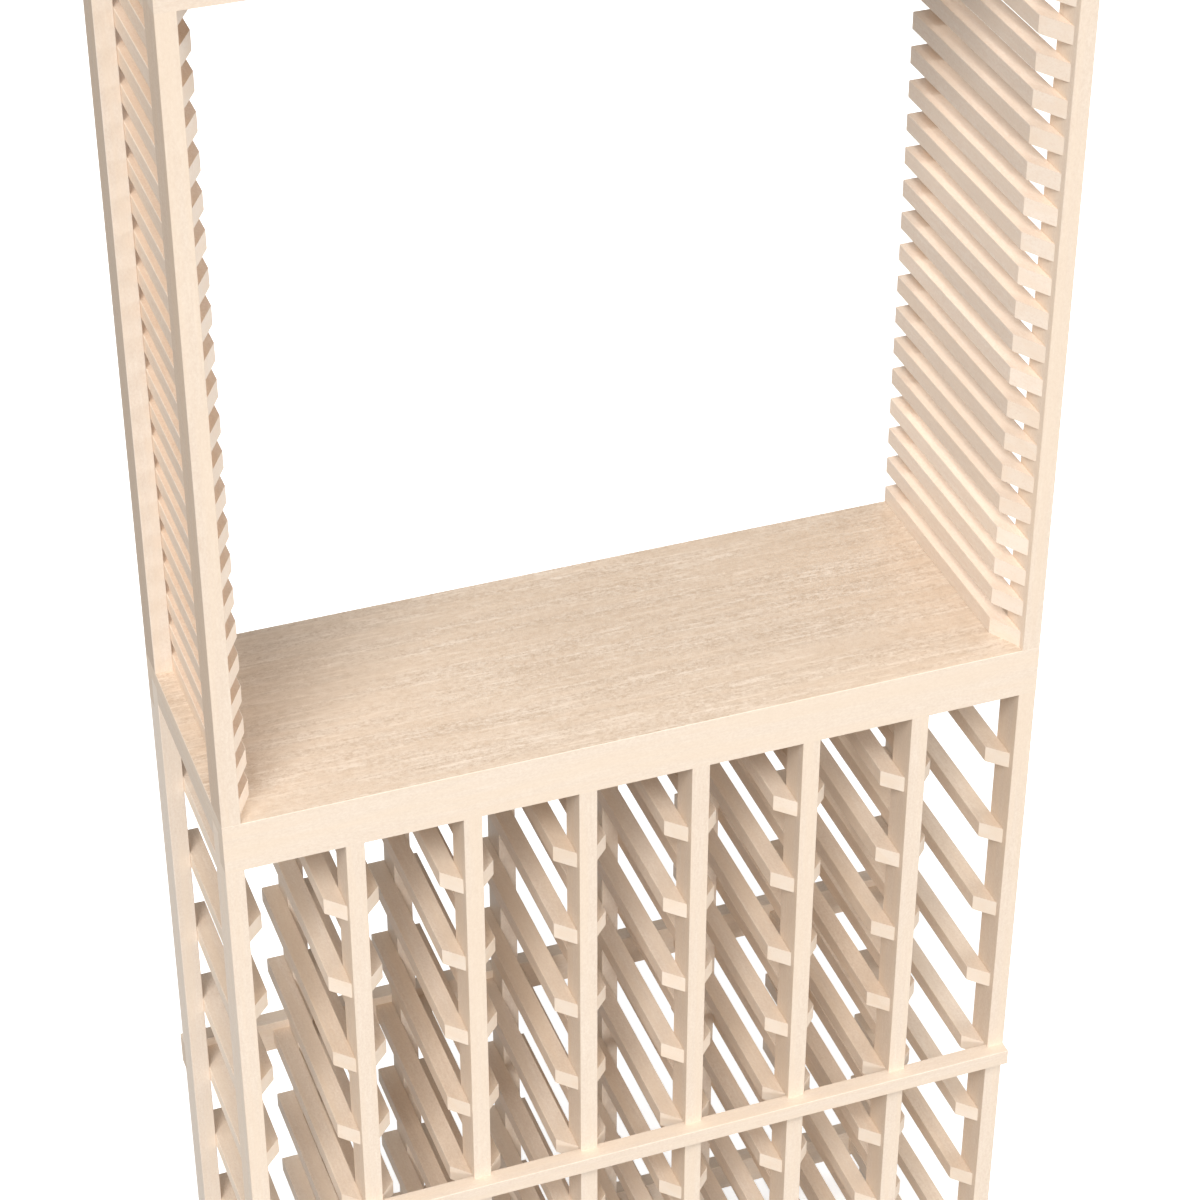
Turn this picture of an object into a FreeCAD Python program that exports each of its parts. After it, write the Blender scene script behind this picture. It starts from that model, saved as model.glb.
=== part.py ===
import FreeCAD, Part
import os

# Wine tasting station: a bottle rack with a table on it, two slatted side
# ladders that stand on the table, and a top that carries a stemware rack.
# Millimetres. The origin is on the floor at the middle of the footprint,
# +X is to the right, +Y is towards the back and +Z is up.

# Counts
column_count = 7
row_count = 9
upper_rail_count = 23
strip_rows = (5, 1)

# Ladders: posts with rails nailed across their side faces
column_pitch = 114.3
post_width = 18.0
post_depth = 38.0
frame_depth = 289.0
rail_thickness = 18.0
rail_height = 18.0
rail_setback = 8.0
lower_rail_bevel_run = 18.0
upper_rail_bevel_run = 31.2
edge_ease = 0.5

# Heights of the lower rack
lowest_rail_clearance = 55.0
row_pitch = 96.6
head_clearance = 77.5

# Table and top: a panel on two aprons and two side cleats
panel_thickness = 18.0
apron_thickness = 18.0
apron_height = 35.5
cleat_height = 18.0
bay_height = 798.5

# Strips across the lower rack, let into the posts
strip_depth = 18.0
strip_housing_depth = 5.0
front_strip_height = 18.0
back_strip_height = 38.0

# Stemware rack under the top
runner_web_width = 18.0
stem_slot_width = 25.4
flange_thickness = 9.0
foot_entry_height = 9.0
runner_front_gap = 32.0

# Nails and screws
nail_diameter = 1.8
nail_cover = 1.0
nail_inset = 31.0
nail_stagger = 4.0
nail_rise = 4.0
flange_nail_inset = 30.0
screw_diameter = 4.0
screw_head_diameter = 8.0
screw_head_height = 2.5
short_screw_length = 32.0
long_screw_length = 45.0
strip_screw_drop = 3.0
panel_screw_inset = 45.0

# Holes for fixing the back to a wall
wall_hole_diameter = 5.0
wall_hole_columns = (2, 6)

# Construction values that are not sizes of the object
cut_overrun = 10.0
parallel_tolerance = 1e-6

# Places worked out from the sizes above
overall_width = column_count * column_pitch + post_width
left_x = -overall_width / 2
right_x = overall_width / 2
front_y = -frame_depth / 2
back_y = frame_depth / 2
top_rail_z = lowest_rail_clearance + (row_count - 1) * row_pitch
rack_top_z = top_rail_z + rail_height + head_clearance + apron_height
table_z = rack_top_z + panel_thickness
bay_top_z = table_z + bay_height
head_top_z = bay_top_z + apron_height
overall_height = head_top_z + panel_thickness
upper_rail_pitch = (bay_height - rail_height) / (upper_rail_count - 1)
cleat_length = frame_depth - 2 * post_depth
front_strip_y = front_y + strip_housing_depth - strip_depth
back_strip_y = back_y - strip_housing_depth
slot_pitch = (overall_width - 2 * post_width) / column_count
flange_top_z = bay_top_z - foot_entry_height
flange_z = flange_top_z - flange_thickness
runner_y = front_y + apron_thickness + runner_front_gap
runner_length = back_y - apron_thickness - runner_y
nail_length = rail_thickness - nail_cover + post_width / 2

ALONG_X = FreeCAD.Vector(1, 0, 0)
ALONG_Y = FreeCAD.Vector(0, 1, 0)
ALONG_Z = FreeCAD.Vector(0, 0, 1)


def box(x, y, z, width, depth, height):
    """A box from its lowest corner and its three sizes."""
    return Part.makeBox(width, depth, height, FreeCAD.Vector(x, y, z))


def eased(solid, direction, wanted=lambda edge: True):
    """The solid with its edges along one direction chamfered."""
    edges = [
        edge
        for edge in solid.Edges
        if edge.Curve.Direction.cross(direction).Length < parallel_tolerance and wanted(edge)
    ]
    return solid.makeChamfer(edge_ease, edges)


def post_x(index):
    """Left face of a post, counted from 0 at the left end."""
    return left_x + index * column_pitch


def row_rail_z(row):
    """Underside of a lower rail, with row 1 at the bottom."""
    return lowest_rail_clearance + (row - 1) * row_pitch


def upper_rail_z(index):
    """Underside of an upper rail, counted from 0 on the table."""
    return table_z + index * upper_rail_pitch


def strip_z(row, strip_height):
    """Underside of a cross strip centred on the rails of one row."""
    return row_rail_z(row) + (rail_height - strip_height) / 2


# Fasteners


def nail(start, direction):
    """A headless nail."""
    return Part.makeCylinder(nail_diameter / 2, nail_length, start, direction)


def screw(start, direction, length):
    """A countersunk screw with its head flush at the start point."""
    head_radius = screw_head_diameter / 2
    shank_radius = screw_diameter / 2
    head = Part.makeCone(head_radius, shank_radius, screw_head_height, start, direction)
    shank = Part.makeCylinder(shank_radius, length, start, direction)
    return head.fuse(shank).removeSplitter()


def rail_nails(face_x, side, rail_z, bevel_run):
    """The nails of one rail, a little under its surface, into both posts.

    face_x is the post face that the rail is nailed to, and side is 1 for a
    rail on the post's right and -1 for one on its left. Nails on the two
    sides of a post are staggered, so they pass one another.
    """
    stagger = nail_stagger if side < 0 else 0
    front_nail_y = front_y + nail_inset + stagger
    back_nail_y = back_y - nail_inset - stagger
    bevel_slope = rail_thickness / bevel_run
    bevel_thickness = (front_nail_y - front_y - rail_setback) * bevel_slope
    front_thickness = min(rail_thickness, bevel_thickness)
    nail_z = rail_z + rail_height / 2 + nail_rise
    direction = ALONG_X * -side
    front_start = FreeCAD.Vector(face_x + side * (front_thickness - nail_cover), front_nail_y, nail_z)
    back_start = FreeCAD.Vector(face_x + side * (rail_thickness - nail_cover), back_nail_y, nail_z)
    return [nail(front_start, direction), nail(back_start, direction)]


def all_rail_nails():
    nails = []
    for column in range(column_count):
        for row in range(1, row_count + 1):
            z = row_rail_z(row)
            nails += rail_nails(post_x(column) + post_width, 1, z, lower_rail_bevel_run)
            nails += rail_nails(post_x(column + 1), -1, z, lower_rail_bevel_run)
    for index in range(upper_rail_count):
        z = upper_rail_z(index)
        nails += rail_nails(post_x(0) + post_width, 1, z, upper_rail_bevel_run)
        nails += rail_nails(post_x(column_count), -1, z, upper_rail_bevel_run)
    return nails


def runner_end_places():
    """Places along a stemware runner where it is fastened."""
    return (runner_y + flange_nail_inset, runner_y + runner_length - flange_nail_inset)


def stemware_nails():
    nails = []
    for y in runner_end_places():
        for index in range(1, column_count):
            start = FreeCAD.Vector(divider_x(index), y, flange_z + nail_cover)
            nails.append(nail(start, ALONG_Z))
        ledger_nail_z = flange_z + flange_thickness / 2
        left_start = FreeCAD.Vector(left_x + post_width + nail_cover, y, ledger_nail_z)
        right_start = FreeCAD.Vector(right_x - post_width - nail_cover, y, ledger_nail_z)
        nails.append(nail(left_start, ALONG_X))
        nails.append(nail(right_start, -ALONG_X))
    return nails


def apron_screws(post_indices, apron_z):
    """Screws between the posts and the aprons, all driven from behind."""
    screws = []
    z = apron_z + apron_height / 2
    for index in post_indices:
        x = post_x(index) + post_width / 2
        for y in (front_y + post_depth, back_y):
            screws.append(screw(FreeCAD.Vector(x, y, z), -ALONG_Y, short_screw_length))
    return screws


def cleat_screws(panel_underside_z):
    """Screws up through the side cleats into the panel on them."""
    screws = []
    z = panel_underside_z - cleat_height
    for x in (left_x + post_width / 2, right_x - post_width / 2):
        for y in (-cleat_length / 2 + panel_screw_inset, cleat_length / 2 - panel_screw_inset):
            screws.append(screw(FreeCAD.Vector(x, y, z), ALONG_Z, short_screw_length))
    return screws


def runner_screws():
    """Screws down through the top panel into the runner webs."""
    screws = []
    for index in range(1, column_count):
        for y in runner_end_places():
            start = FreeCAD.Vector(divider_x(index), y, overall_height)
            screws.append(screw(start, -ALONG_Z, short_screw_length))
    return screws


def strip_screws():
    """Screws between the posts and the cross strips, all driven from behind."""
    screws = []
    for row in strip_rows:
        z = row_rail_z(row) + rail_height / 2 - strip_screw_drop
        for index in range(column_count + 1):
            x = post_x(index) + post_width / 2
            for y in (front_y + post_depth, back_strip_y + strip_depth):
                screws.append(screw(FreeCAD.Vector(x, y, z), -ALONG_Y, long_screw_length))
    return screws


def upper_post_screws():
    """Screws up through the table panel into the feet of the upper posts."""
    screws = []
    for x in (left_x + post_width / 2, right_x - post_width / 2):
        for y in (front_y + post_depth / 2, back_y - post_depth / 2):
            screws.append(screw(FreeCAD.Vector(x, y, rack_top_z), ALONG_Z, long_screw_length))
    return screws


def bored(piece, fasteners):
    """The piece with a bore for each fastener that reaches into it.

    fasteners is a list of pairs of a solid and its bounding box.
    """
    piece_box = piece.BoundBox
    reaching = [item for item, item_box in fasteners if item_box.intersect(piece_box)]
    return piece.cut(reaching) if reaching else piece


# Lower rack


def post(index, is_front, low_z, high_z):
    """A post with a shoulder at its head that takes the apron."""
    y = front_y if is_front else back_y - post_depth
    apron_y = front_y - cut_overrun if is_front else back_y - apron_thickness
    blank = eased(box(post_x(index), y, low_z, post_width, post_depth, high_z - low_z), ALONG_Z)
    shoulder = box(
        post_x(index) - cut_overrun,
        apron_y,
        high_z - apron_height,
        post_width + 2 * cut_overrun,
        apron_thickness + cut_overrun,
        apron_height + cut_overrun,
    )
    return blank.cut(shoulder)


def lower_post(index, is_front):
    """A post of the bottle rack, housed for the cross strips."""
    solid = post(index, is_front, 0, rack_top_z)
    strip_height = front_strip_height if is_front else back_strip_height
    strip_y = front_strip_y if is_front else back_strip_y
    for row in strip_rows:
        housing = box(
            post_x(index) - cut_overrun,
            strip_y,
            strip_z(row, strip_height),
            post_width + 2 * cut_overrun,
            strip_depth,
            strip_height,
        )
        solid = solid.cut(housing)
    return solid


def rail(face_x, side, z, bevel_run, back_end_y=back_y):
    """A rail on one side face of a ladder, with its front end slanted."""
    start_y = front_y + rail_setback
    inner_x = face_x + side * rail_thickness
    outline = [
        FreeCAD.Vector(face_x, start_y, z),
        FreeCAD.Vector(inner_x, start_y + bevel_run, z),
        FreeCAD.Vector(inner_x, back_end_y, z),
        FreeCAD.Vector(face_x, back_end_y, z),
    ]
    face = Part.Face(Part.makePolygon(outline + outline[:1]))
    return eased(face.extrude(ALONG_Z * rail_height), ALONG_Y)


def column_rails(face_x, side):
    """The rails of one side of a bottle column, some of them cut short by a strip."""
    rails = []
    for row in range(1, row_count + 1):
        back_end_y = back_strip_y if row in strip_rows else back_y
        rails.append(rail(face_x, side, row_rail_z(row), lower_rail_bevel_run, back_end_y))
    return rails


def front_strip(row):
    """A slender strip across the front of the rack, level with one row."""
    z = strip_z(row, front_strip_height)
    blank = box(left_x, front_strip_y, z, overall_width, strip_depth, front_strip_height)
    return eased(blank, ALONG_X)


def back_strip(row):
    """A taller strip across the back of the rack."""
    z = strip_z(row, back_strip_height)
    blank = box(left_x, back_strip_y, z, overall_width, strip_depth, back_strip_height)
    return eased(blank, ALONG_X)


def with_wall_holes(solid, z):
    """The back piece with a screw hole through it at two columns."""
    for column in wall_hole_columns:
        x = post_x(column) - column_pitch / 2 + post_width / 2
        start = FreeCAD.Vector(x, back_y - apron_thickness - cut_overrun, z)
        length = apron_thickness + strip_depth + 2 * cut_overrun
        solid = solid.cut(Part.makeCylinder(wall_hole_diameter / 2, length, start, ALONG_Y))
    return solid


# Table and top, which are built alike


def panel(z):
    """A full-width panel with its upper edges eased."""
    blank = box(left_x, front_y, z, overall_width, frame_depth, panel_thickness)
    top_z = z + panel_thickness

    def on_top(edge):
        return abs(edge.CenterOfMass.z - top_z) < parallel_tolerance

    upper_edges = [edge for edge in blank.Edges if on_top(edge)]
    return blank.makeChamfer(edge_ease, upper_edges)


def apron(z, is_front):
    """A board under one long edge of a panel, flush with the posts below it.

    Only its lower inner edge is eased, so that the flush joints stay closed.
    """
    y = front_y if is_front else back_y - apron_thickness
    blank = box(left_x, y, z, overall_width, apron_thickness, apron_height)

    def is_lower_inner(edge):
        middle = edge.CenterOfMass
        return middle.z < z + apron_height / 2 and abs(middle.y) < back_y - apron_thickness / 2

    return eased(blank, ALONG_X, is_lower_inner)


def cleat(z, is_left):
    """A stick under one end of a panel, between the end posts."""
    x = left_x if is_left else right_x - post_width
    blank = box(x, -cleat_length / 2, z, post_width, cleat_length, cleat_height)
    return eased(blank, ALONG_Y, lambda edge: edge.CenterOfMass.z < z + cleat_height / 2)


# Upper ladders


def upper_post(is_left, is_front):
    index = 0 if is_left else column_count
    return post(index, is_front, table_z, head_top_z)


def upper_rails(face_x, side):
    """The close-set rails of one side ladder."""
    indices = range(upper_rail_count)
    return [rail(face_x, side, upper_rail_z(index), upper_rail_bevel_run) for index in indices]


# Stemware rack


def divider_x(index):
    """Centre of the divider on the right of a glass slot."""
    return left_x + post_width + index * slot_pitch


def runner_web(index):
    """The upright of a runner, hung from the top panel."""
    x = divider_x(index) - runner_web_width / 2
    height = head_top_z - flange_top_z
    return box(x, runner_y, flange_top_z, runner_web_width, runner_length, height)


def runner_flange(index):
    """The board under a web, whose two edges carry the glasses' feet."""
    width = slot_pitch - stem_slot_width
    x = divider_x(index) - width / 2
    return eased(box(x, runner_y, flange_z, width, runner_length, flange_thickness), ALONG_Y)


def ledger(is_left):
    """The half flange on a side ladder's top rail."""
    inner_x = divider_x(0) + rail_thickness
    width = divider_x(0) + slot_pitch / 2 - stem_slot_width / 2 - inner_x
    x = inner_x if is_left else -inner_x - width
    return eased(box(x, runner_y, flange_z, width, runner_length, flange_thickness), ALONG_Y)


def timber():
    """Every wooden node, as a list of its solids under its name."""
    nodes = {}
    for index in range(column_count + 1):
        nodes[f"lower_post_front_{index + 1}"] = [lower_post(index, True)]
        nodes[f"lower_post_back_{index + 1}"] = [lower_post(index, False)]
    for column in range(column_count):
        nodes[f"rails_column_{column + 1}_left"] = column_rails(post_x(column) + post_width, 1)
        nodes[f"rails_column_{column + 1}_right"] = column_rails(post_x(column + 1), -1)
    middle_row, bottom_row = strip_rows
    middle_strip_z = row_rail_z(middle_row) + rail_height / 2
    nodes["middle_strip_front"] = [front_strip(middle_row)]
    nodes["middle_strip_back"] = [with_wall_holes(back_strip(middle_row), middle_strip_z)]
    nodes["bottom_strip_front"] = [front_strip(bottom_row)]
    nodes["bottom_strip_back"] = [back_strip(bottom_row)]
    table_apron_z = rack_top_z - apron_height
    nodes["table_panel"] = [panel(rack_top_z)]
    nodes["table_apron_front"] = [apron(table_apron_z, True)]
    nodes["table_apron_back"] = [apron(table_apron_z, False)]
    nodes["table_cleat_left"] = [cleat(rack_top_z - cleat_height, True)]
    nodes["table_cleat_right"] = [cleat(rack_top_z - cleat_height, False)]
    for side_name, is_left in (("left", True), ("right", False)):
        nodes[f"upper_post_front_{side_name}"] = [upper_post(is_left, True)]
        nodes[f"upper_post_back_{side_name}"] = [upper_post(is_left, False)]
    nodes["upper_rails_left"] = upper_rails(left_x + post_width, 1)
    nodes["upper_rails_right"] = upper_rails(right_x - post_width, -1)
    top_back_apron = with_wall_holes(apron(bay_top_z, False), bay_top_z + apron_height / 2)
    nodes["top_panel"] = [panel(head_top_z)]
    nodes["top_apron_front"] = [apron(bay_top_z, True)]
    nodes["top_apron_back"] = [top_back_apron]
    nodes["top_cleat_left"] = [cleat(head_top_z - cleat_height, True)]
    nodes["top_cleat_right"] = [cleat(head_top_z - cleat_height, False)]
    nodes["stem_runner_webs"] = [runner_web(index) for index in range(1, column_count)]
    nodes["stem_runner_flanges"] = [runner_flange(index) for index in range(1, column_count)]
    nodes["stem_ledger_left"] = [ledger(True)]
    nodes["stem_ledger_right"] = [ledger(False)]
    return nodes


def hardware():
    """The three kinds of fastener, each a group of like solids."""
    every_post = range(column_count + 1)
    end_posts = (0, column_count)
    nails = all_rail_nails() + stemware_nails()
    short_screws = apron_screws(every_post, rack_top_z - apron_height)
    short_screws += apron_screws(end_posts, bay_top_z)
    short_screws += cleat_screws(rack_top_z) + cleat_screws(head_top_z) + runner_screws()
    long_screws = strip_screws() + upper_post_screws()
    return {"finish_nails": nails, "short_screws": short_screws, "long_screws": long_screws}


def export(name, solids):
    """One STEP file per node: a single solid, or a group of separate ones."""
    shape = solids[0] if len(solids) == 1 else Part.makeCompound(solids)
    shape.exportStep(f"parts/{name}.step")


def main():
    os.makedirs("parts", exist_ok=True)
    fasteners = hardware()
    boxed_fasteners = [(item, item.BoundBox) for group in fasteners.values() for item in group]
    for name, solids in timber().items():
        export(name, [bored(solid, boxed_fasteners) for solid in solids])
    for name, solids in fasteners.items():
        export(name, solids)


main()
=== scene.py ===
import math

import bpy
from mathutils import Matrix, Vector


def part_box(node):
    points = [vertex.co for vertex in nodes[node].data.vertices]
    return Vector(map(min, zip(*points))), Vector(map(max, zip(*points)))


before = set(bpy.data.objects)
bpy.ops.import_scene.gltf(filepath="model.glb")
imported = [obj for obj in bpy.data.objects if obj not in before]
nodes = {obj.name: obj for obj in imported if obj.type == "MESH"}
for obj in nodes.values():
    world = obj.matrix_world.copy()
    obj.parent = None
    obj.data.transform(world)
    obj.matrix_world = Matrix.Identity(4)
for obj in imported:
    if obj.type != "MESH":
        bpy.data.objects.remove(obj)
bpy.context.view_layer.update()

# Sizes that the materials follow, in metres
POST_WIDTH = 0.018
HALF_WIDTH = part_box("table_panel")[1].x
TABLE_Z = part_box("table_panel")[1].z
LOWEST_RAIL_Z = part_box("rails_column_1_left")[0].z
COLUMNS = 7
SLOT_PITCH = (2 * HALF_WIDTH - 2 * POST_WIDTH) / COLUMNS
ROW_PITCH = 0.0966
UPPER_RAIL_PITCH = 0.035477

# A node that holds several sticks is told apart into sticks by cells along an
# axis: the axis, where the first cell starts, and the pitch
COLUMN_CELL = ("Z", LOWEST_RAIL_Z - 0.02, ROW_PITCH)
LADDER_CELL = ("Z", TABLE_Z - 0.005, UPPER_RAIL_PITCH)
RUNNER_CELL = ("X", -HALF_WIDTH + POST_WIDTH - SLOT_PITCH / 2, SLOT_PITCH)
SEED_PER_CELL = 3.7


def linear(red, green, blue):
    """Linear colour from 8-bit screen values."""

    def channel(value):
        value /= 255
        return value / 12.92 if value <= 0.04045 else ((value + 0.055) / 1.055) ** 2.4

    return (channel(red), channel(green), channel(blue), 1.0)


# Woods: the colour between growth rings, in them, and of the warmer patches
FRAME_WOOD = (linear(234, 219, 202), linear(219, 199, 179), linear(230, 210, 187))
# The back posts' wood is a painted tint: cooler than the frame wood, to undo the warm light bounced onto
# them
BACK_POST_PAINTED_LIGHT_WOOD = (linear(231, 219, 205), linear(216, 199, 182), linear(227, 210, 190))
RAIL_WOOD = (linear(242, 227, 211), linear(230, 209, 189), linear(239, 219, 198))
PANEL_WOOD = (linear(239, 223, 205), linear(204, 181, 157), linear(228, 206, 182))

# Noises of the wood: cycles per metre along and across the grain, detail, roughness
WOOD_NOISES = {
    "drift": (2.2, 6.0, 1.0, 0.5),
    "waver": (14.0, 45.0, 2.0, 0.5),
    "speckle": (310.0, 500.0, 3.0, 0.7),
    "mottle": (95.0, 185.0, 2.0, 0.5),
    "streak": (70.0, 430.0, 2.0, 0.55),
    "line": (22.0, 300.0, 2.0, 0.5),
    "band": (3.0, 62.0, 2.0, 0.5),
    "warmth": (5.0, 72.0, 3.0, 0.5),
}
# How far each stick's sample of the noises lies from the next, in metres
SAMPLE_SPREAD = (9.0, 7.0, 8.0)

# Growth rings round a centre outside the stick, in metres
FULL_TURN = 6.283
CENTRE_LEAST = 0.03
CENTRE_SPREAD = 0.05
RING_DRIFT = 0.022
RING_WAVER = 0.0032
RINGS_PER_METRE = 330.0
RING_START_SPREAD = 50.0

# How much each part of the figure moves the tone from the light to the deep colour
MIDDLE_TONE = 0.52
RING_TONE = 0.3
STREAK_TONE = 0.6
PALE_LINE_TONE = -0.5
BAND_TONE = 0.4
MOTTLE_TONE = 0.8
SPECKLE_TONE = 2.7
SPECKLE_FIGURE = 0.75
STICK_TONE = 0.2
END_GRAIN_TONE = 0.35
# Painted light on slanted ends and a painted highlight on arrises: these negative tones lighten them
SLANT_PAINTED_LIGHT = -0.45
ARRIS_PAINTED_HIGHLIGHT = -0.15
HUE_SHARE = 0.45
# How much lighter a colour gets for each unit that its painted face shade plus random stick tone is under 1
LIGHTEN_GAIN = 0.6

# Strengths of figure, spread of tone, the painted shade on end faces, and bump distances that several
# pieces share
FRONT_FIGURE = 0.45
RAIL_SPREAD = 0.26
END_SIDE_SHADE = 1.06
STICK_BUMP = 0.00012
PANEL_BUMP = 0.00008


class Graph:
    """Short calls that add nodes to a node tree and give their outputs."""

    def __init__(self, tree):
        self.tree = tree

    def node(self, kind, inputs=(), **settings):
        """Add a node. Inputs maps names or numbers of sockets to values or outputs."""
        node = self.tree.nodes.new(kind)
        for name, value in settings.items():
            setattr(node, name, value)
        for name, value in dict(inputs).items():
            if isinstance(value, bpy.types.NodeSocket):
                self.tree.links.new(value, node.inputs[name])
            else:
                node.inputs[name].default_value = value
        return node

    def math(self, operation, first, second=0.0, third=0.0, clamp=False):
        values = {0: first, 1: second, 2: third}
        node = self.node("ShaderNodeMath", values, operation=operation, use_clamp=clamp)
        return node.outputs[0]

    def vector(self, operation, first, second=(0.0, 0.0, 0.0)):
        node = self.node("ShaderNodeVectorMath", {0: first, 1: second}, operation=operation)
        return node.outputs["Value" if operation == "LENGTH" else "Vector"]

    def combine(self, x, y, z):
        return self.node("ShaderNodeCombineXYZ", {"X": x, "Y": y, "Z": z}).outputs[0]

    def split(self, vector):
        return self.node("ShaderNodeSeparateXYZ", {"Vector": vector}).outputs

    def noise(self, vector, scale, detail=2.0, roughness=0.5):
        """Noise from 0 to 1, about 0.5. Scale is in cycles per metre along each axis."""
        scaled = self.vector("MULTIPLY", vector, scale)
        inputs = {"Vector": scaled, "Scale": 1.0, "Detail": detail, "Roughness": roughness}
        return self.node("ShaderNodeTexNoise", inputs).outputs["Fac"]

    def centred(self, value, gain):
        """A 0 to 1 value as one from -gain/2 to gain/2."""
        return self.math("MULTIPLY", self.math("SUBTRACT", value, 0.5), gain)

    def ramp(self, value, low, high):
        """0 at low and 1 at high, with a smooth step between them."""
        inputs = {"Value": value, "From Min": low, "From Max": high}
        return self.node("ShaderNodeMapRange", inputs, interpolation_type="SMOOTHSTEP").outputs[0]

    def mix(self, factor, first, second):
        """A mix of two colours. Sockets 6, 7 and output 2 are the node's colour ones."""
        inputs = {0: factor, 6: first, 7: second}
        return self.node("ShaderNodeMix", inputs, data_type="RGBA").outputs[2]

    def surface(self, inputs):
        """A principled shader as the material's surface."""
        shader = self.node("ShaderNodeBsdfPrincipled", inputs)
        self.node("ShaderNodeOutputMaterial", {"Surface": shader.outputs["BSDF"]})


def new_material(name):
    material = bpy.data.materials.new(name)
    material.use_nodes = True
    material.node_tree.nodes.clear()
    return material, Graph(material.node_tree)


def growth_rings(g, place, chance, noises):
    """Rings round a centre that lies on a side that differs from stick to stick."""
    place = g.split(place)
    angle = g.math("MULTIPLY", chance["X"], FULL_TURN)
    distance = g.math("MULTIPLY_ADD", chance["Y"], CENTRE_SPREAD, CENTRE_LEAST)
    across = g.math("ADD", place["Y"], g.math("MULTIPLY", g.math("COSINE", angle), distance))
    up = g.math("ADD", place["Z"], g.math("MULTIPLY", g.math("SINE", angle), distance))
    radius = g.vector("LENGTH", g.combine(across, up, 0.0))
    radius = g.math("ADD", radius, g.centred(noises["drift"], RING_DRIFT))
    radius = g.math("ADD", radius, g.centred(noises["waver"], RING_WAVER))
    start = g.math("MULTIPLY", chance["Z"], RING_START_SPREAD)
    along = g.math("ADD", g.math("MULTIPLY", radius, RINGS_PER_METRE), start)
    inputs = {"W": along, "Scale": 1.0, "Detail": 2.0}
    return g.node("ShaderNodeTexNoise", inputs, noise_dimensions="1D").outputs["Fac"]


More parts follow.
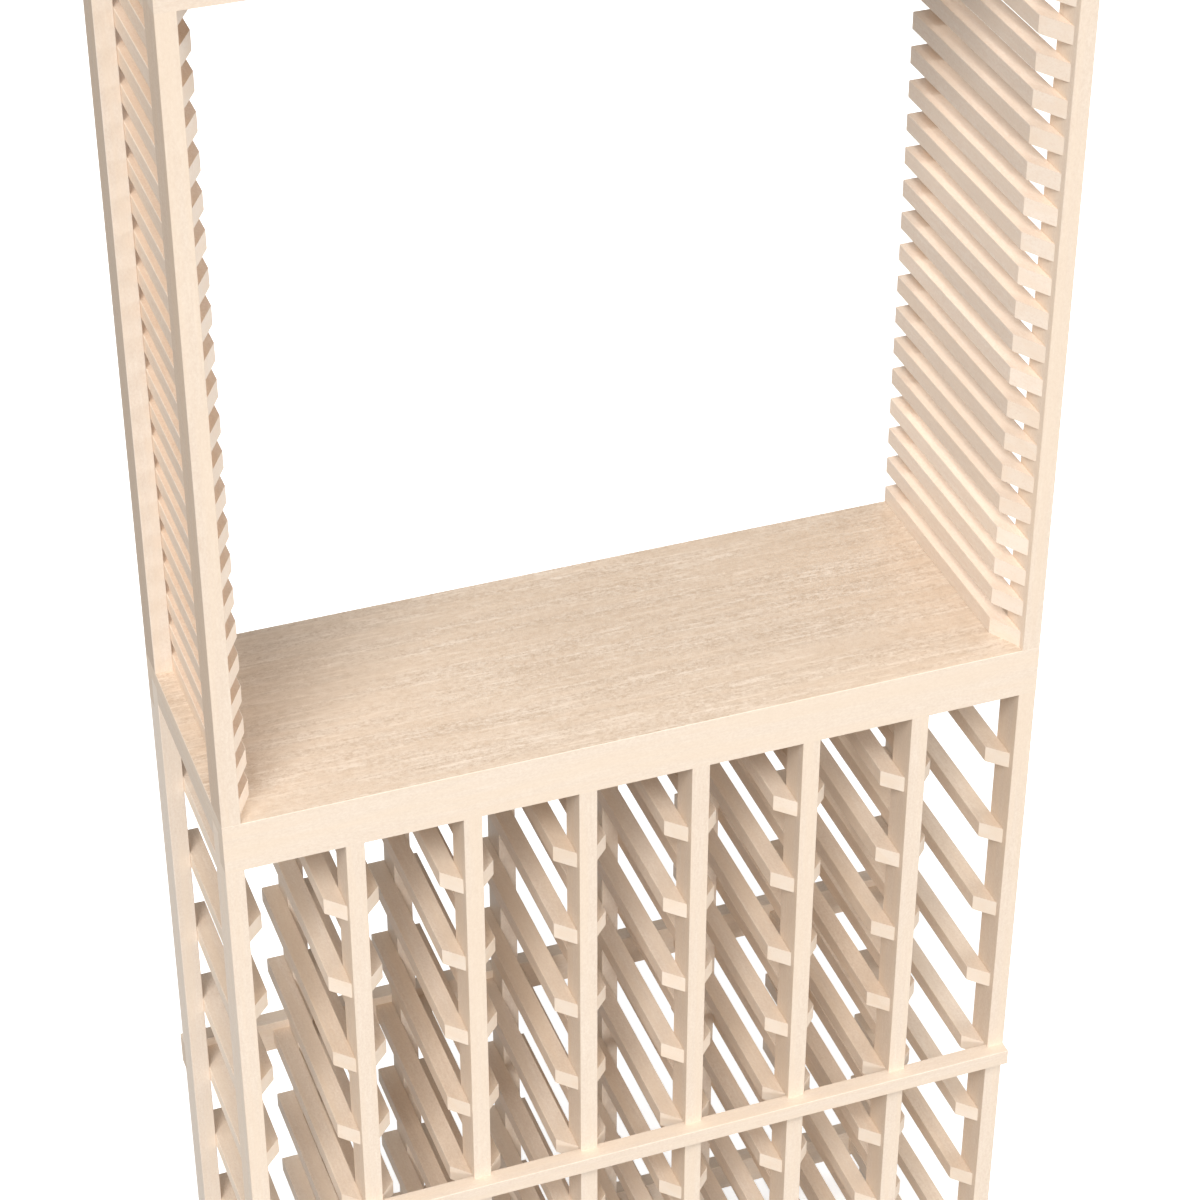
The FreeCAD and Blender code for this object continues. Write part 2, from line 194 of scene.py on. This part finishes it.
def wood_group():
    """Solid wood whose grain runs along X of the vector that it is given.

    Place is in metres. Stick is a number that differs from one stick of wood
    to the next. Light and Deep are the colours between growth rings and in
    them, and Hue is the tint that patches of the surface turn towards. Side
    and Top are painted shade and light: how much darker (over 1) or lighter
    (under 1) the faces across Y and across Z are made, to stand in for how
    light falls on them. Spread is how much the tone differs at random from
    stick to stick.
    """
    tree = bpy.data.node_groups.new("solid_wood", "ShaderNodeTree")
    for in_out, kind, names in (
        ("INPUT", "NodeSocketVector", ("Place", "Facing")),
        ("INPUT", "NodeSocketFloat", ("Stick", "Figure", "Side", "Top", "Spread")),
        ("INPUT", "NodeSocketColor", ("Light", "Deep", "Hue")),
        ("OUTPUT", "NodeSocketColor", ("Color",)),
        ("OUTPUT", "NodeSocketFloat", ("Roughness", "Height")),
    ):
        for name in names:
            tree.interface.new_socket(name=name, in_out=in_out, socket_type=kind)
    g = Graph(tree)
    given = g.node("NodeGroupInput").outputs
    figure = given["Figure"]
    stick = g.node("ShaderNodeTexWhiteNoise", {"W": given["Stick"]}, noise_dimensions="1D")
    chance = g.split(stick.outputs["Color"])
    offset = g.vector("MULTIPLY", stick.outputs["Color"], SAMPLE_SPREAD)
    moved = g.vector("ADD", given["Place"], offset)
    noises = {
        name: g.noise(moved, (along, across, across), detail, roughness)
        for name, (along, across, detail, roughness) in WOOD_NOISES.items()
    }

    tone = g.math("MULTIPLY", g.centred(growth_rings(g, given["Place"], chance, noises), RING_TONE), figure)
    for part in (
        g.centred(noises["streak"], STREAK_TONE),
        g.math("MULTIPLY", g.ramp(noises["line"], 0.48, 0.78), PALE_LINE_TONE),
        g.centred(noises["band"], BAND_TONE),
        g.centred(noises["mottle"], MOTTLE_TONE),
    ):
        tone = g.math("ADD", tone, g.math("MULTIPLY", part, figure))
    speckle_gain = g.math("MULTIPLY_ADD", figure, SPECKLE_FIGURE, 1 - SPECKLE_FIGURE)
    speckle = g.centred(noises["speckle"], SPECKLE_TONE)
    tone = g.math("ADD", tone, g.math("MULTIPLY", speckle, speckle_gain))
    tone = g.math("ADD", tone, g.centred(chance["Z"], STICK_TONE))
    tone = g.math("ADD", tone, MIDDLE_TONE, clamp=True)

    # End grain is darker; slanted ends get painted light and sanded arrises a painted highlight, both
    # lighter
    facing = g.split(g.vector("ABSOLUTE", given["Facing"]))
    largest = g.math("MAXIMUM", g.math("MAXIMUM", facing["X"], facing["Y"]), facing["Z"])
    end_grain = g.ramp(facing["X"], 0.92, 0.99)
    slant_painted_light = g.math("MULTIPLY", g.ramp(facing["X"], 0.35, 0.45), g.ramp(facing["X"], 0.86, 0.76))
    arris_painted_highlight = g.math("SUBTRACT", 1.0, g.ramp(largest, 0.72, 0.78))
    for share, amount in ((end_grain, END_GRAIN_TONE), (slant_painted_light, SLANT_PAINTED_LIGHT), (arris_painted_highlight, ARRIS_PAINTED_HIGHLIGHT)):
        tone = g.math("ADD", tone, g.math("MULTIPLY", share, amount), clamp=True)
    colour = g.mix(tone, given["Light"], given["Deep"])
    hue_share = g.math("MULTIPLY", g.ramp(noises["warmth"], 0.38, 0.64), HUE_SHARE)
    colour = g.mix(hue_share, colour, given["Hue"])

    # Painted shade and light on side and top faces, plus a random tone per stick: over 1 darkens as a
    # gamma, under 1 lightens as a gain
    shade_and_tone = 1.0
    for axis, least, wanted in (("Y", 0.9, "Side"), ("Z", 0.8, "Top")):
        on_face = g.math("GREATER_THAN", facing[axis], least)
        shade_and_tone = g.math("MULTIPLY_ADD", on_face, g.math("SUBTRACT", given[wanted], 1.0), shade_and_tone)
    chance_depth = g.math("MULTIPLY", g.centred(chance["X"], 1.0), given["Spread"])
    shade_and_tone = g.math("ADD", shade_and_tone, chance_depth)
    gamma = g.math("MAXIMUM", shade_and_tone, 1.0)
    gain = g.math("MULTIPLY_ADD", g.math("MINIMUM", shade_and_tone, 1.0), -LIGHTEN_GAIN, 1 + LIGHTEN_GAIN)
    colour = g.node("ShaderNodeGamma", {"Color": colour, "Gamma": gamma}).outputs[0]
    colour = g.vector("MULTIPLY", colour, g.combine(gain, gain, gain))

    roughness = g.math("ADD", g.centred(noises["speckle"], 0.16), g.centred(noises["streak"], 0.10))
    roughness = g.math("ADD", roughness, g.math("MULTIPLY", end_grain, 0.18))
    height = g.math("ADD", g.centred(noises["speckle"], 1.0), g.centred(noises["line"], 0.8))
    g.node("NodeGroupOutput", {"Color": colour, "Roughness": roughness, "Height": height})
    return tree


WOOD = wood_group()
# The object's axes in the wood's order, by the axis that the grain runs along
WOOD_AXES = {"X": ("X", "Y", "Z"), "Y": ("Y", "X", "Z"), "Z": ("Z", "X", "Y")}


def timber(g, grain, seed, colours, figure, cell=None, side=1.0, top=1.0, spread=0.0):
    """A piece of solid wood in a node tree, as its group node's outputs."""
    where = g.node("ShaderNodeTexCoord").outputs
    place, facing = g.split(where["Object"]), g.split(where["Normal"])
    stick = float(seed)
    if cell:
        axis, start, pitch = cell
        index = g.math("FLOOR", g.math("DIVIDE", g.math("SUBTRACT", place[axis], start), pitch))
        stick = g.math("MULTIPLY_ADD", index, SEED_PER_CELL, stick)
    light, deep, hue = colours
    inputs = {
        "Place": g.combine(*(place[axis] for axis in WOOD_AXES[grain])),
        "Facing": g.combine(*(facing[axis] for axis in WOOD_AXES[grain])),
        "Stick": stick,
        "Figure": figure,
        "Side": side,
        "Top": top,
        "Spread": spread,
        "Light": light,
        "Deep": deep,
        "Hue": hue,
    }
    return g.node("ShaderNodeGroup", inputs, node_tree=WOOD).outputs


def varnish(g, colour, unevenness, height, roughness, bump):
    """Satin varnish over wood."""
    uneven = g.math("ADD", unevenness, roughness, clamp=True)
    relief = g.node("ShaderNodeBump", {"Strength": 0.6, "Distance": bump, "Height": height})
    g.surface(
        {
            "Base Color": colour,
            "Roughness": uneven,
            "Normal": relief.outputs["Normal"],
            "Specular IOR Level": 0.45,
        }
    )


def stick_wood(name, grain, seed, figure=FRONT_FIGURE, roughness=0.40, colours=FRAME_WOOD, **wood_settings):
    """The wood of posts, rails, strips and aprons.

    Grain is the axis that it runs along. Wood settings are timber's cell,
    painted side and top shade, and spread.
    """
    material, g = new_material(name)
    wood = timber(g, grain, seed, colours, figure, **wood_settings)
    varnish(g, wood["Color"], wood["Roughness"], wood["Height"], roughness, STICK_BUMP)
    return material


def panel_wood(name, seed, front_seed, end_seed):
    """A figured panel whose edges match the apron and the cleats under it."""
    material, g = new_material(name)
    face = timber(g, "X", seed, PANEL_WOOD, 1.0)
    front = timber(g, "X", front_seed, FRAME_WOOD, FRONT_FIGURE)
    # The panel's end faces get the same painted shade as the cleats
    end = timber(g, "Y", end_seed, FRAME_WOOD, FRONT_FIGURE, side=END_SIDE_SHADE)
    facing = g.split(g.vector("ABSOLUTE", g.node("ShaderNodeTexCoord").outputs["Normal"]))
    on_face = g.ramp(facing["Z"], 0.8, 0.9)
    at_end = g.ramp(facing["X"], 0.6, 0.8)
    colour = g.mix(on_face, g.mix(at_end, front["Color"], end["Color"]), face["Color"])
    roughness = g.math("MULTIPLY_ADD", on_face, -0.14, 0.42)
    varnish(g, colour, face["Roughness"], face["Height"], roughness, PANEL_BUMP)
    return material


def steel(name, seed):
    """Bright zinc-plated steel with faint cloudy passivation and fine scratches."""
    material, g = new_material(name)
    place = g.vector("ADD", g.node("ShaderNodeTexCoord").outputs["Object"], (seed, 0.0, 0.0))
    cloud = g.noise(place, (420.0, 420.0, 420.0), detail=3.0)
    scratch = g.noise(place, (5200.0, 900.0, 5200.0))
    relief = g.node("ShaderNodeBump", {"Strength": 0.4, "Distance": 0.00004, "Height": scratch})
    g.surface(
        {
            "Base Color": g.mix(g.ramp(cloud, 0.35, 0.65), linear(176, 178, 182), linear(205, 203, 196)),
            "Roughness": g.math("ADD", g.math("MULTIPLY", scratch, 0.22), 0.22),
            "Metallic": 1.0,
            "Normal": relief.outputs["Normal"],
        }
    )
    return material


# A number for each node's own sample of wood
SEEDS = {name: 11.3 + 1.37 * number for number, name in enumerate(sorted(nodes))}


def node_material(name):
    """The material of a node, by its name. Side and top are painted shade and light on a piece's side and
    top faces, fitted to the photograph.
    """
    seed = SEEDS[name]
    if "nails" in name or "screws" in name:
        return steel("steel_" + name, seed)
    label = "wood_" + name
    if name.endswith("panel"):
        group = name.split("_")[0]
        return panel_wood(label, seed, SEEDS[group + "_apron_front"], SEEDS[group + "_cleat_left"])
    if name.startswith("rails_column"):
        # Painted shade and light on the rack rails' side and top faces
        side = 0.75 if name == "rails_column_1_left" else 1.05
        look = {"side": side, "top": 1.12, "spread": RAIL_SPREAD}
        return stick_wood(label, "Y", seed, figure=0.55, cell=COLUMN_CELL, **look)
    if name.startswith("upper_rails"):
        # Painted shade and light on the ladder rails' side and top faces, darker on the left ladder and
        # lighter on the right
        side, top = (1.33, 1.45) if name.endswith("left") else (0.94, 0.82)
        look = {"side": side, "top": top, "spread": RAIL_SPREAD, "colours": RAIL_WOOD}
        return stick_wood(label, "Y", seed, figure=0.6, roughness=0.36, cell=LADDER_CELL, **look)
    if name.startswith("stem_runner"):
        return stick_wood(label, "Y", seed, figure=0.5, cell=RUNNER_CELL)
    if "ledger" in name or "cleat" in name:
        # Painted shade on the end faces of ledgers and cleats
        return stick_wood(label, "Y", seed, side=END_SIDE_SHADE)
    if "apron" in name or "strip" in name:
        return stick_wood(label, "X", seed)
    # Painted shade and light on the posts' faces across X: darker on the upper left posts, lighter on the
    # other upper posts and on those whose names end in _1
    side = 1.1
    if name.endswith("_1") or name.startswith("upper"):
        side = 0.75
    if name.startswith("upper") and name.endswith("left"):
        side = 1.7 if "back" in name else 1.45
    # The back posts get the cooler painted tint against bounced light
    colours = BACK_POST_PAINTED_LIGHT_WOOD if "back" in name else FRAME_WOOD
    return stick_wood(label, "Z", seed, roughness=0.38, colours=colours, side=side)


for name in nodes:
    materials = nodes[name].data.materials
    materials.clear()
    materials.append(node_material(name))


# Floor: white, so that it meets the background without an edge
FLOOR_HALF = 30.0
FLOOR_GLOW = 0.5


def floor_material():
    material, g = new_material("pale_floor")
    cloud = g.noise(g.node("ShaderNodeTexCoord").outputs["Object"], (0.7, 0.7, 0.7))
    colour = g.mix(cloud, linear(250, 250, 250), linear(253, 253, 253))
    g.surface(
        {
            "Base Color": colour,
            "Roughness": 0.8,
            "Emission Color": colour,
            "Emission Strength": FLOOR_GLOW,
        }
    )
    return material


floor_mesh = bpy.data.meshes.new("floor")
floor_corners = [(x * FLOOR_HALF, y * FLOOR_HALF, 0.0) for x, y in ((-1, -1), (1, -1), (1, 1), (-1, 1))]
floor_mesh.from_pydata(floor_corners, [], [(0, 1, 2, 3)])
floor_mesh.materials.append(floor_material())
floor = bpy.data.objects.new("floor", floor_mesh)
bpy.context.scene.collection.objects.link(floor)
floor.visible_diffuse = False
floor.visible_glossy = False


# Light: a key from the front left, a small lamp near the camera, weaker lights
# from the sides and the back, and a surround that is brighter below, as over a
# white floor
SURROUND_ABOVE = 0.26
SURROUND_BELOW = 0.46
LIGHTS = (
    # name, azimuth (0 is the front, 90 the right), elevation, strength, spread; in degrees
    ("key_light", -35.0, 45.0, 2.35, 24.0),
    ("front_light", -8.5, 20.0, 0.95, 4.0),
    ("left_light", -90.0, 30.0, 0.35, 24.0),
    ("right_front_light", 35.0, 45.0, 0.3, 24.0),
    ("low_right_light", 65.0, 5.0, 0.86, 24.0),
    ("right_light", 75.0, 30.0, 0.84, 24.0),
    ("back_light", 180.0, 4.0, 0.55, 40.0),
)


def set_surround(above, below):
    world = bpy.data.worlds.new("surround")
    bpy.context.scene.world = world
    world.use_nodes = True
    world.node_tree.nodes.clear()
    g = Graph(world.node_tree)
    direction = g.split(g.node("ShaderNodeTexCoord").outputs["Generated"])
    share = g.ramp(direction["Z"], -0.15, 0.15)
    level = g.math("MULTIPLY_ADD", share, above - below, below)
    shader = g.node("ShaderNodeBackground", {"Color": (1.0, 1.0, 1.0, 1.0), "Strength": level})
    g.node("ShaderNodeOutputWorld", {"Surface": shader.outputs[0]})


def distant_light(name, azimuth, elevation, strength, spread):
    light = bpy.data.lights.new(name, "SUN")
    light.energy = strength
    light.angle = math.radians(spread)
    lamp = bpy.data.objects.new(name, light)
    bpy.context.scene.collection.objects.link(lamp)
    turned, raised = math.radians(azimuth), math.radians(elevation)
    level = math.cos(raised)
    source = Vector((math.sin(turned) * level, -math.cos(turned) * level, math.sin(raised)))
    lamp.matrix_world = (-source).to_track_quat("-Z", "Y").to_matrix().to_4x4()


set_surround(SURROUND_ABOVE, SURROUND_BELOW)
for light_settings in LIGHTS:
    distant_light(*light_settings)

# Camera, at the photograph's viewing angle
CAMERA_PLACE = Vector((-0.88995, -2.4649, 2.8689))
CAMERA_FORWARD = Vector((0.2802, 0.7700, -0.5732)).normalized()
FOCAL_PIXELS = 3330.0
IMAGE_PIXELS = 1200.0
SENSOR_MM = 36.0

camera_data = bpy.data.cameras.new("camera")
camera_data.sensor_fit = "HORIZONTAL"
camera_data.sensor_width = SENSOR_MM
camera_data.lens = SENSOR_MM * FOCAL_PIXELS / IMAGE_PIXELS
camera_data.clip_start = 0.1
camera_data.clip_end = 100.0
camera = bpy.data.objects.new("camera", camera_data)
bpy.context.scene.collection.objects.link(camera)
rightward = CAMERA_FORWARD.cross(Vector((0.0, 0.0, 1.0))).normalized()
upward = rightward.cross(CAMERA_FORWARD)
turn = Matrix((rightward, upward, -CAMERA_FORWARD)).transposed().to_4x4()
camera.matrix_world = Matrix.Translation(CAMERA_PLACE) @ turn
bpy.context.scene.camera = camera
bpy.context.scene.view_settings.view_transform = "Standard"
bpy.context.scene.view_settings.look = "None"
